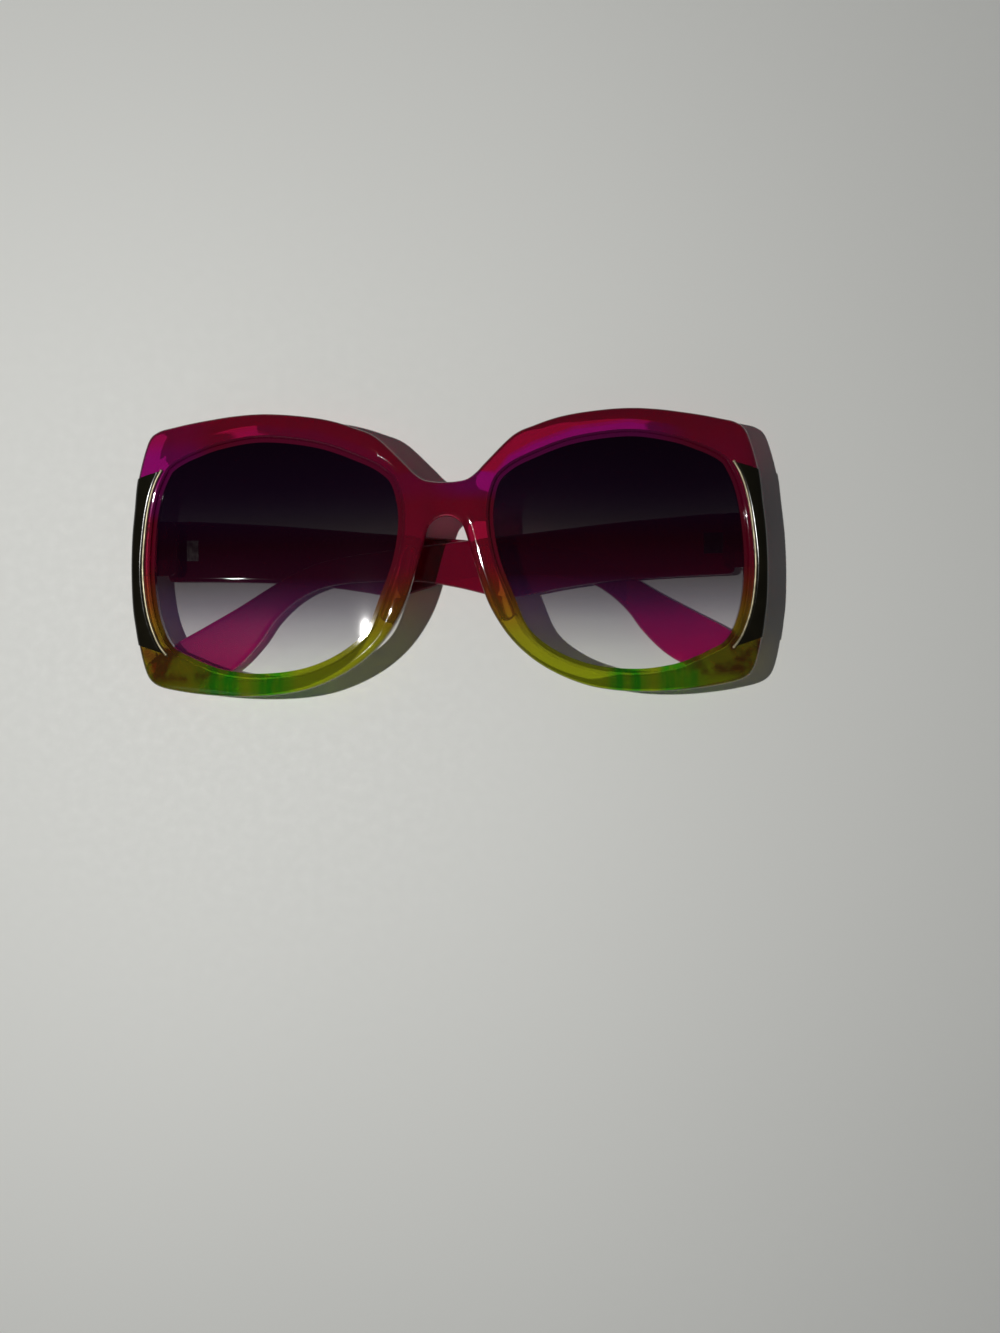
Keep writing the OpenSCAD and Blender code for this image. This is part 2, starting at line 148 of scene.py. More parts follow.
# How far a temple's tip curls, and the shares of its length where that starts and how far it runs
CURL, CURL_FROM, CURL_RUN = 1.2, 0.79, 0.21

# Rounding of a temple's edges: distance in from the edge, and how much the face drops there
TEMPLE_ROUND = ((0.0, 0.06, 0.16, 0.3, 0.48, 0.7, 1.1), (0.7, 0.48, 0.28, 0.13, 0.04, 0, 0))
# Spacing of the points inside a temple's faces
TEMPLE_GRID = 2.5

# Depth below the crown of the rim against distance in from its two edges, millimetres
OUTER_ROUND = ((0.0, 0.12, 0.3, 0.55, 0.9, 1.5, 2.2), (1.1, 0.78, 0.55, 0.38, 0.28, 0.15, 0.0))
INNER_ROUND = ((0.0, 0.1, 0.25, 0.45, 2.75, 2.9, 3.05), (1.0, 0.78, 0.6, 0.5, 0.035, 0.008, 0.0))
BACK_ROUND = ((0.0, 0.15, 0.35, 0.75), (0.8, 0.4, 0.14, 0.0))
BACK_INNER_ROUND = ((0.0, 0.2, 0.6), (0.3, 0.1, 0.0))


class SunglassesSizes(bpy.types.PropertyGroup):
    """Sizes of the sunglasses, as the frame has them"""

    lens_w: FloatProperty(
        name="Lens width", description="Width of one lens opening", default=0.061, unit="LENGTH")
    lens_h: FloatProperty(
        name="Lens height", description="Height of one lens opening", default=0.0563, unit="LENGTH")
    lens_gap: FloatProperty(
        name="Nose gap", description="Gap between the openings", default=0.0202, unit="LENGTH")
    lens_t: FloatProperty(
        name="Lens thickness", description="Thickness of a lens", default=0.002, unit="LENGTH")
    rim_w: FloatProperty(
        name="Rim width", description="Width of the rim above a lens", default=0.005, unit="LENGTH")
    rim_t: FloatProperty(
        name="Rim thickness", description="Thickness of the rim", default=0.0044, unit="LENGTH")
    wrap_r: FloatProperty(
        name="Wrap radius", description="Curve of the front", default=0.34, unit="LENGTH")
    temple_len: FloatProperty(
        name="Temple length", description="Hinge to tip", default=0.141, unit="LENGTH")
    temple_t: FloatProperty(
        name="Temple thickness", description="Thickness of a temple", default=0.003, unit="LENGTH")
    fold_gap: FloatProperty(
        name="Fold gap", description="Gap between folded temples", default=0.0003, unit="LENGTH")
    wire_w: FloatProperty(
        name="Wire width", description="Width of the inlaid wire", default=0.0006, unit="LENGTH")


class SunglassesColours(bpy.types.PropertyGroup):
    """Colours of the sunglasses"""

    brow: FloatVectorProperty(
        name="Brow", description="Plastic above the lenses", subtype="COLOR", default=(0.40, 0.0025, 0.042))
    # Painted light: this brighter magenta stands for light showing back through the plastic from the lit
    # table. It colours the band over each lens and the upper corners
    magenta: FloatVectorProperty(
        name="Magenta", description="Brighter band", subtype="COLOR", default=(0.37, 0.002, 0.21))
    amber: FloatVectorProperty(
        name="Amber", description="Plastic beside the nose", subtype="COLOR", default=(0.34, 0.085, 0.010))
    lime: FloatVectorProperty(
        name="Lime", description="Plastic under the lenses", subtype="COLOR", default=(0.35, 0.45, 0.005))
    green: FloatVectorProperty(
        name="Green", description="Patches in the lime", subtype="COLOR", default=(0.03, 0.40, 0.004))
    temple: FloatVectorProperty(
        name="Temple", description="Plastic of the temples", subtype="COLOR", default=(0.42, 0.002, 0.046))
    tip: FloatVectorProperty(
        name="Tip", description="Plastic at the tips", subtype="COLOR", default=(0.78, 0.003, 0.22))


def sizes():
    return bpy.context.scene.sunglasses_sizes


def colours():
    return bpy.context.scene.sunglasses_colours


# Curves


def smooth(a, b, c, d, t):
    """A place between b and c on the curve that also goes through a and d"""
    return 0.5 * (2 * b + (c - a) * t + (2 * a - 5 * b + 4 * c - d) * t * t + (3 * (b - c) + d - a) * t**3)


def on_loop(rows, t):
    """A place on the closed curve through some rows, t counted in rows"""
    i = math.floor(t)
    a, b, c, d = (rows[(i + k) % len(rows)] for k in (-1, 0, 1, 2))
    return smooth(a, b, c, d, t - i)


def on_line(rows, t):
    """A place on the open curve through some rows, t counted in rows"""
    last = len(rows) - 1
    i = min(math.floor(t), last - 1)
    return smooth(rows[max(i - 1, 0)], rows[i], rows[i + 1], rows[min(i + 2, last)], t - i)


class Front:
    """The front's own curves, in millimetres, for the wearer's left half"""

    def __init__(self):
        s = sizes()
        self.lens = np.array((s.lens_w, s.lens_h)) / MM / 2
        self.gap, self.rim_w, self.rim_t = s.lens_gap / MM, s.rim_w / MM, s.rim_t / MM
        self.wrap, self.lens_t = s.wrap_r / MM, s.lens_t / MM
        self.centre = np.array((self.gap / 2 + self.lens[0], -CENTRE_DROP * self.rim_w))
        self.half_w = self.centre[0] + self.lens[0] + SIDE_REACH * self.rim_w + SIDE_MORE
        self.hinge_x, self.hinge_y = self.half_w - HINGE_IN, HINGE_UP
        self.end_z = self.arc(self.hinge_x) - self.rim_t - END_DEPTH
        self.hinge_z = self.end_z - JOINT_DROP
        temple = s.temple_t / MM
        self.lie = math.asin((temple + s.fold_gap / MM) / (2 * self.hinge_x))
        sin, cos = math.sin(self.lie), math.cos(self.lie)
        self.shift = (self.arc(self.half_w) - self.rim_t / 2) * sin
        self.lift = temple + TEMPLE_FACE + self.hinge_x * sin - self.hinge_z * cos

    def arc(self, x):
        """Height of the front's crown, bent round the face"""
        return np.sqrt(self.wrap**2 - np.square(x)) - self.wrap

    def opening(self, t):
        """A place on a lens opening, t in stations"""
        return self.centre + on_loop(STATIONS, t)[:2] * self.lens

    def edge(self, t):
        """The place on the front's edge that belongs to a station"""
        return self.opening(t) + self.rim_w * on_loop(STATIONS, t)[2:]

    def outward(self, t):
        """The way straight out of a lens opening"""
        d = self.opening(t + 0.05) - self.opening(t - 0.05)
        return np.array((-d[1], d[0])) / np.hypot(*d)

    def grown(self, by, per_station):
        """A lens opening made larger all round"""
        ts = np.arange(len(STATIONS) * per_station) / per_station
        return np.array([self.opening(t) + by * self.outward(t) for t in ts])

    def wire_line(self, t):
        """The inner side of the wire"""
        sway = min(1, max(0, SWAY_START + SWAY_RATE * (t - TRIM_FROM)))
        return self.opening(t) + self.outward(t) * (WIRE_OUT + WIRE_SWAY * sway)

    def across(self, t):
        """The way from the wire to the edge of the front"""
        d = self.edge(t) - self.wire_line(t)
        return d / np.hypot(*d)

    def from_wire(self, t, by):
        return self.wire_line(t) + self.across(t) * by

    def from_edge(self, t, by):
        return self.edge(t) + self.across(t) * by

    def row(self, points):
        """Points of the front, set down on the folded temples"""
        p = np.asarray(points, float)
        c, s = math.cos(self.lie), math.sin(self.lie)
        x = p[:, 0] * c - p[:, 2] * s + self.shift
        z = p[:, 0] * s + p[:, 2] * c + self.lift
        return np.stack((x, p[:, 1], z), 1)

    def hinge(self, side):
        """The middle of a hinge"""
        return self.row([(side * self.hinge_x, self.hinge_y, self.hinge_z)])[0]

    def outline(self):
        """The whole edge of the front, clockwise, with the bridge flowing into both rims"""
        rows = [self.edge(t) for t in np.arange(0, 19.6, 0.5)]
        rows += [self.edge(20), self.edge(20.6), self.edge(21.3)]
        rows += [(ARCH_R * math.cos(a), ARCH_Y + ARCH_R * math.sin(a)) for a in np.radians((12, 38, 64))]
        left = np.array([tuple(r) for r in rows])
        rise = [(x, BRIDGE_TOP + up) for x, up in ((2.6, 0.12), (5.2, 0.7), (7.4, 2.3), (9.6, 4.6))]
        brow = np.array(rise + [tuple(self.edge(t)) for t in (25.0, 25.5, 26.0, 26.5)])
        mirror = np.array((-1, 1))
        ring = np.concatenate((
            left, [(0, ARCH_Y + ARCH_R)], left[::-1] * mirror,
            brow[::-1] * mirror, [(0, BRIDGE_TOP)], brow))
        per_row = 8
        return np.array([on_loop(ring, k / per_row) for k in range(len(ring) * per_row)])


# Meshes


def new_object(name, points, faces, material=None, sharp=32.0):
    """A closed smooth mesh from points in millimetres in the row's frame"""
    mesh = bpy.data.meshes.new(name)
    verts = [tuple(float(c) * MM for c in p) for p in points]
    mesh.from_pydata(verts, [], [tuple(map(int, f)) for f in faces])
    obj = bpy.data.objects.new(name, mesh)
    bpy.context.scene.collection.objects.link(obj)
    tidy(obj, sharp)
    if material:
        obj.data.materials.append(material)
    return obj


def tidy(obj, sharp=32.0):
    """Welds a mesh, points its faces outwards and marks its sharp edges"""
    bm = bmesh.new()
    bm.from_mesh(obj.data)
    bmesh.ops.remove_doubles(bm, verts=bm.verts, dist=2e-6)
    bmesh.ops.dissolve_degenerate(bm, edges=bm.edges, dist=1e-6)
    bmesh.ops.recalc_face_normals(bm, faces=bm.faces)
    for f in bm.faces:
        f.smooth = True
    for e in bm.edges:
        e.smooth = len(e.link_faces) != 2 or e.calc_face_angle(0) < math.radians(sharp)
    bm.to_mesh(obj.data)
    bm.free()


def settle(obj):
    """Turns an object's modifiers into its mesh"""
    graph = bpy.context.evaluated_depsgraph_get()
    made = bpy.data.meshes.new_from_object(obj.evaluated_get(graph))
    obj.modifiers.clear()
    obj.data = made
    return obj


def join_or_cut(obj, others, operation):
    """Adds other solids to an object or takes them out of it, and deletes them"""
    for other in others:
        m = obj.modifiers.new("cut", "BOOLEAN")
        m.operation, m.solver, m.object = operation, "EXACT", other
        settle(obj)
        bpy.data.objects.remove(other)
    return obj


def edge_distance(points, loops):
    """Distance of each point from the nearest edge of some closed loops"""
    at_once = 2000
    best = np.full(len(points), FAR)
    for loop in loops:
        a, b = loop, np.roll(loop, -1, 0)
        ab = b - a
        length = np.maximum((ab**2).sum(1), 1e-12)
        for start in range(0, len(points), at_once):
            part = slice(start, start + at_once)
            p = points[part, None, :]
            t = np.clip(((p - a) * ab).sum(2) / length, 0, 1)
            d = np.sqrt(((p - a - t[..., None] * ab) ** 2).sum(2)).min(1)
            best[part] = np.minimum(best[part], d)
    return best


def inside(points, loop):
    """Which points lie inside a closed loop"""
    x, y = points[:, 0:1], points[:, 1:2]
    (x0, y0), (x1, y1) = loop.T, np.roll(loop, -1, 0).T
    crosses = (y0 > y) != (y1 > y)
    with np.errstate(divide="ignore", invalid="ignore"):
        at = x0 + (y - y0) * (x1 - x0) / (y1 - y0)
    return (crosses & (x < at)).sum(1) % 2 == 1


def inset(loop, by):
    """A closed loop moved to its own left by some distance where by is positive"""
    d = np.roll(loop, -1, 0) - np.roll(loop, 1, 0)
    n = np.stack((-d[:, 1], d[:, 0]), 1) / np.hypot(*d.T)[:, None]
    return loop + n * by


def turned(loop, clockwise):
    """A closed loop in the asked direction"""
    area = np.sum(loop[:, 0] * np.roll(loop[:, 1], -1) - np.roll(loop[:, 0], -1) * loop[:, 1])
    return loop if (area < 0) == clockwise else loop[::-1]


def plate(outline, holes, outer_steps, inner_steps, top, bottom, hole_rows=(), grid=0.0):
    """A plate with rounded edges: its outline and holes in plan, its faces as heights over the plan"""
    outline = turned(outline, True)
    holes = [turned(h, False) for h in holes]
    loops = [outline, *holes]
    points, edges, count = [], [], 0
    for loop, steps in [(outline, outer_steps), *((h, inner_steps) for h in holes)]:
        for d in steps:
            # A point is left out where another edge is nearer than its own
            ring = inset(loop, -d)
            clear = np.ones(len(ring), bool) if d == 0 else edge_distance(ring, loops) > 0.96 * d
            index = np.cumsum(clear) - 1 + count
            for k in range(len(ring)):
                j = (k + 1) % len(ring)
                if clear[k] and clear[j]:
                    edges.append((int(index[k]), int(index[j])))
            points.append(ring[clear])
            count += int(clear.sum())
    if grid:
        xs, ys = (np.arange(low, high, grid) for low, high in zip(outline.min(0), outline.max(0)))
        g = np.array([(x, y) for x in xs for y in ys])
        keep = inside(g, outline) & (edge_distance(g, loops) > max(outer_steps) + 0.4 * grid)
        points.append(g[keep])
    flat = np.concatenate(points)
    verts, _, faces, _, _, _ = delaunay_2d_cdt([Vector(p) for p in flat], edges, [], 0, 1e-7, False)
    flat = np.array([tuple(v) for v in verts])
    faces = np.array([f for f in faces if len(f) == 3])
    middle = flat[faces].mean(1)
    keep = inside(middle, outline)
    for h in holes:
        keep &= ~inside(middle, h)
    faces = faces[keep]
    a, b, c = (flat[faces[:, k]] for k in range(3))
    ccw = (b - a)[:, 0] * (c - a)[:, 1] - (b - a)[:, 1] * (c - a)[:, 0] > 0
    faces[~ccw] = faces[~ccw][:, ::-1]
    d_out, d_in = edge_distance(flat, [outline]), edge_distance(flat, holes)
    n = len(flat)
    up = np.column_stack((flat, top(flat, d_out, d_in)))
    down = np.column_stack((flat, bottom(flat, d_out, d_in)))
    solid = [*up, *down]
    quads = [tuple(f) for f in faces] + [tuple(f[::-1] + n) for f in faces]
    sides = {(f[k], f[(k + 1) % 3]): None for f in faces for k in range(3)}
    rim = [(p, q) for p, q in sides if (q, p) not in sides]
    on_hole = d_in < 1e-4
    levels = {}

    def level(v, k):
        """The point of vertex v on row k of a hole's wall"""
        if (v, k) not in levels:
            out, z = hole_rows[k]
            at = flat[v]
            if out:
                places = [(h, np.argmin(((h - at) ** 2).sum(1))) for h in holes]
                hole, nearest = min(places, key=lambda place: ((place[0][place[1]] - at) ** 2).sum())
                at = inset(hole, out)[nearest]
            levels[v, k] = len(solid)
            solid.append(np.array((at[0], at[1], z(np.array([at]))[0])))
        return levels[v, k]

    for p, q in rim:
        if hole_rows and on_hole[p] and on_hole[q]:
            chain_p = [p, *(level(p, k) for k in range(len(hole_rows))), p + n]
            chain_q = [q, *(level(q, k) for k in range(len(hole_rows))), q + n]
            for k in range(len(chain_p) - 1):
                quads.append((chain_q[k], chain_p[k], chain_p[k + 1], chain_q[k + 1]))
        else:
            quads.append((q, p, p + n, q + n))
    return np.array(solid), quads


def band(pairs, profile, arc):
    """A bar swept along pairs of points, with its profile spanning each pair"""
    points, quads, m = [], [], len(profile)
    for a, b in pairs:
        a, b = np.array(a), np.array(b)
        for u, z in profile:
            q = a + (b - a) * u
            points.append((q[0], q[1], arc(q[0]) + z))
    for i in range(len(pairs) - 1):
        for j in range(m):
            k = (j + 1) % m
            quads.append((i * m + j, i * m + k, (i + 1) * m + k, (i + 1) * m + j))
    quads.append(tuple(range(m - 1, -1, -1)))
    quads.append(tuple((len(pairs) - 1) * m + j for j in range(m)))
    return np.array(points), quads


def hull(points, name):
    """The smallest convex solid round some points"""
    bm = bmesh.new()
    for p in points:
        bm.verts.new(Vector(p) * MM)
    bmesh.ops.convex_hull(bm, input=bm.verts)
    loose = [v for v in bm.verts if not v.link_faces]
    bmesh.ops.delete(bm, geom=loose, context="VERTS")
    mesh = bpy.data.meshes.new(name)
    bm.to_mesh(mesh)
    bm.free()
    obj = bpy.data.objects.new(name, mesh)
    bpy.context.scene.collection.objects.link(obj)
    tidy(obj)
    return obj


def turn(steps):
    """The angles of a full turn"""
    return np.linspace(0, 2 * math.pi, steps, endpoint=False)


def ball(centre, r, rings, around):
    """Points of a ball"""
    c = np.array(centre, float)
    return [c + r * np.array((math.sin(a) * math.cos(b), math.sin(a) * math.sin(b), math.cos(a)))
            for a in np.linspace(0, math.pi, rings) for b in turn(around)]


def step_curve(table):
    """The drop at each distance, read off a table of distances and drops"""
    xs, ys = (np.array(v, float) for v in table)
    return lambda d: np.interp(d, xs, ys)


def mirrored(points, side):
    """Points of the wearer's left half, put on a side"""
    return np.asarray(points, float) * np.array((side, 1, 1))


def keep_in_box(obj, node):
    """Brings the points that a finer curve puts past a solid's box back onto it"""
    solid = np.array([v.co[:] for v in bpy.data.objects[node].data.vertices])
    low, high = solid.min(0), solid.max(0)
    for v in obj.data.vertices:
        v.co = np.clip(v.co[:], low, high)


def finish_piece(obj, body, slot, *nodes):
    """Says which body a piece rides on and hides the solids it replaces; slot is not used"""
    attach(obj, body)
    if nodes:
        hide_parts(*nodes)


# Materials


class Nodes:
    """Short calls for building one material's nodes"""

    def __init__(self, name):
        self.material = bpy.data.materials.new(name)
        self.material.use_nodes = True
        self.tree = self.material.node_tree
        self.shader = self.tree.nodes["Principled BSDF"]
        self.place = self.new("ShaderNodeTexCoord").outputs["Object"]

    def new(self, kind, **values):
        node = self.tree.nodes.new(kind)
        for key, value in values.items():
            setattr(node, key, value)
        return node

    def join(self, a, b):
        self.tree.links.new(a, b)

    def axis(self, name):
        node = self.new("ShaderNodeSeparateXYZ")
        self.join(self.place, node.inputs[0])
        return node.outputs[name]

    def put(self, value, socket):
        """Joins a value from another node to a socket, or writes a plain value into it"""
        if isinstance(value, bpy.types.NodeSocket):
            self.join(value, socket)
        elif hasattr(value, "__len__"):
            socket.default_value = (*value, 1)
        else:
            socket.default_value = value

    def math(self, operation, a, b=0.0):
        node = self.new("ShaderNodeMath", operation=operation)
        self.put(a, node.inputs[0])
        self.put(b, node.inputs[1])
        return node.outputs[0]

    def product(self, first, *others):
        for other in others:
            first = self.math("MULTIPLY", first, other)
        return first

    def span(self, value, low, high, to_low=0.0, to_high=1.0, way="LINEAR"):
        node = self.new("ShaderNodeMapRange", interpolation_type=way)
        self.join(value, node.inputs["Value"])
        for key, v in (("From Min", low), ("From Max", high), ("To Min", to_low), ("To Max", to_high)):
            node.inputs[key].default_value = v
        return node.outputs["Result"]

    def ease(self, value, low, high, to_low=0.0, to_high=1.0):
        return self.span(value, low, high, to_low, to_high, "SMOOTHSTEP")

    def between(self, value, start, full, full_end, end):
        """A mask that is full over a range and fades to nothing on both sides"""
        return self.product(self.ease(value, start, full), self.ease(value, end, full_end))

    def ramp(self, value, stops):
        node = self.new("ShaderNodeValToRGB")
        self.join(value, node.inputs[0])
        while len(node.color_ramp.elements) < len(stops):
            node.color_ramp.elements.new(0.5)
        for element, (at, colour) in zip(node.color_ramp.elements, stops):
            element.position = at
            element.color = (*colour, 1)
        return node.outputs[0]

    def noise(self, scale, detail=3.0, roughness=0.5, stretch=(1, 1, 1)):
        place = self.new("ShaderNodeMapping")
        place.inputs["Scale"].default_value = stretch
        self.join(self.place, place.inputs["Vector"])
        node = self.new("ShaderNodeTexNoise")
        self.join(place.outputs[0], node.inputs["Vector"])
        node.inputs["Scale"].default_value = scale
        node.inputs["Detail"].default_value = detail
        node.inputs["Roughness"].default_value = roughness
        return node.outputs["Fac"]

    def mix(self, factor, a, b, blend="MIX"):
        node = self.new("ShaderNodeMix", data_type="RGBA", blend_type=blend)
        self.put(factor, node.inputs["Factor"])
        self.put(a, node.inputs["A"])
        self.put(b, node.inputs["B"])
        return node.outputs["Result"]

    def stain(self, base, mask, colour):
        """Nearly covers a colour with another one where a mask is full"""
        return self.mix(self.math("MULTIPLY", mask, 0.9), base, colour)

    def set(self, **values):
        for key, value in values.items():
            self.put(value, self.shader.inputs[key.replace("_", " ")])

    def gloss(self, low, high, detail=4):
        """A roughness that fine specks of dust break up"""
        return self.span(self.noise(5000, detail), 0.3, 0.7, low, high)

    def bump(self, height, distance, strength):
        node = self.new("ShaderNodeBump")
        node.inputs["Strength"].default_value = strength
        node.inputs["Distance"].default_value = distance
        self.join(height, node.inputs["Height"])
        self.join(node.outputs[0], self.shader.inputs["Normal"])


# Gloss of the moulded plastics
POLISHED = {"IOR": 1.47, "Specular_IOR_Level": 0.35, "Coat_Weight": 0.1, "Coat_Roughness": 0.03}


def above_lens(n, x, y):
    """Height of a place above the upper edge of the lens opening that it is nearest to, metres"""
    f = Front()
    low, high = f.centre[0] - f.lens[0], f.centre[0] + f.lens[0]
    share = n.span(x, low * MM, high * MM)
    top = [f.opening(t) for t in range(23, 33)]
    # Height that a ramp's value of 1 stands for
    highest = 33
    stops = [((p[0] - low) / (high - low), (p[1] / highest,) * 3) for p in top]
    return n.math("SUBTRACT", y, n.math("MULTIPLY", n.ramp(share, stops), highest * MM))


def front_plastic():
    c = colours()
    n = Nodes("graded_plastic")
    y, along = n.axis("Y"), n.axis("X")
    x = n.math("ABSOLUTE", along)
    # The gradient from lime at the bottom to the brow
    drift = n.span(n.noise(60, 2), 0.3, 0.7, -0.002, 0.002)
    height = n.span(n.math("ADD", y, drift), -0.033, 0.033)
    base = n.ramp(height, [
        (0.0, tuple(c.lime)), (0.19, (0.36, 0.34, 0.010)), (0.27, (0.36, 0.19, 0.010)),
        (0.335, tuple(c.amber)), (0.40, (0.38, 0.030, 0.022)), (0.47, (0.42, 0.004, 0.046)),
        (1.0, tuple(c.brow))])
    # Green patches in the lime under each lens
    inner, outer = n.between(x, 0.035, 0.040, 0.044, 0.048), n.between(x, 0.048, 0.051, 0.056, 0.062)
    streak = n.span(n.noise(420, 2, 0.6, (1, 0.08, 1)), 0.36, 0.58, 0.3, 1.0)
    patch = n.product(n.ease(y, -0.022, -0.027), n.product(n.math("ADD", inner, outer), streak))
    base = n.mix(patch, base, tuple(c.green))
    # Painted light: a brighter magenta band along the top of each lens, where light shows back through the
    # plastic, stronger on the wearer's left
    over = above_lens(n, x, y)
    lit_band = n.product(n.ease(over, 0.0031, 0.0027), n.span(over, -0.004, -0.001))
    reach = n.product(n.ease(x, 0.060, 0.044), n.ease(y, 0.004, 0.012))
    lit_band = n.product(lit_band, reach, n.span(along, -0.004, 0.004, 0.22, 1.0))
    base = n.stain(base, lit_band, tuple(c.magenta))
    # Painted light: brighter magenta upper corners, where light shows back through the plastic, stronger on
    # the wearer's right
    lit_claw = n.product(n.ease(x, 0.053, 0.062), n.ease(y, 0.0085, 0.012))
    lit_claw = n.product(lit_claw, n.ease(y, 0.029, 0.024, 0.3, 1.0), n.span(along, 0.004, -0.004, 0.12, 1.0))
    base = n.stain(base, lit_claw, tuple(c.magenta))
    # Painted darkening: brown patches in the lower corners stand for the dark temple tips seen through the
    # plastic
    corner = n.product(n.ease(x, 0.054, 0.060), n.ease(y, -0.031, -0.0275), n.ease(y, -0.014, -0.019))
    corner = n.product(corner, n.span(n.noise(230, 2), 0.42, 0.56, 0.1, 1.0))
    base = n.stain(base, corner, (0.15, 0.038, 0.005))
    n.set(Base_Color=base, Roughness=n.gloss(0.02, 0.04), Transmission_Weight=0.82, **POLISHED)
    return n.material


def temple_plastic():
    c = colours()
    n = Nodes("raspberry_plastic")
    base = n.mix(n.ease(n.axis("Y"), -0.006, -0.017), tuple(c.temple), tuple(c.tip))
    cloud = n.span(n.noise(45, 2), 0.3, 0.7, 0.85, 1.0)
    base = n.mix(1.0, base, n.ramp(cloud, [(0.0, (0, 0, 0)), (1.0, (1, 1, 1))]), "MULTIPLY")
    n.set(Base_Color=base, Roughness=n.gloss(0.028, 0.042), Transmission_Weight=0.7, **POLISHED)
    return n.material


def lens_plastic():
    n = Nodes("gradient_lens")
    height = n.span(n.axis("Y"), -0.030, 0.029)
    base = n.ramp(height, [
        (0.0, (0.09, 0.045, 0.17)), (0.25, (0.055, 0.022, 0.11)), (0.42, (0.012, 0.002, 0.010)),
        (0.55, (0.007, 0.0005, 0.004)), (0.68, (0.006, 0.0008, 0.008)), (1.0, (0.003, 0.0002, 0.003))])
    cover = ((0.04, 0.06), (0.13, 0.10), (0.24, 0.20), (0.33, 0.33), (0.42, 0.43), (0.52, 0.51),
             (0.65, 0.68), (0.80, 0.86), (0.95, 0.96))
    alpha = n.ramp(height, [(at, (share,) * 3) for at, share in cover])
    n.set(Base_Color=base, Alpha=alpha, Roughness=n.gloss(0.032, 0.042, 3), Specular_IOR_Level=0.15, IOR=1.5)
    return n.material


def plain_finish(name, colour, rough, scale, metal=1.0, stretch=(1, 1, 1), spread=0.25, shine=0.5):
    """A material with its colour clouded, its gloss broken and a fine bump"""
    n = Nodes(name)
    cloud = n.noise(scale * 0.25, 3)
    grain = n.noise(scale, 5, 0.6, stretch)
    dark = tuple(v * (1 - spread) for v in colour)
    light = tuple(min(1, v * (1 + spread)) for v in colour)
    base = n.mix(n.span(cloud, 0.3, 0.7), dark, light)
    broken = n.span(grain, 0.3, 0.7, rough * 0.8, rough * 1.3)
    n.set(Base_Color=base, Roughness=broken, Metallic=metal, Specular_IOR_Level=shine)
    n.bump(grain, distance=0.00002, strength=0.4)
    return n.material


# Operators


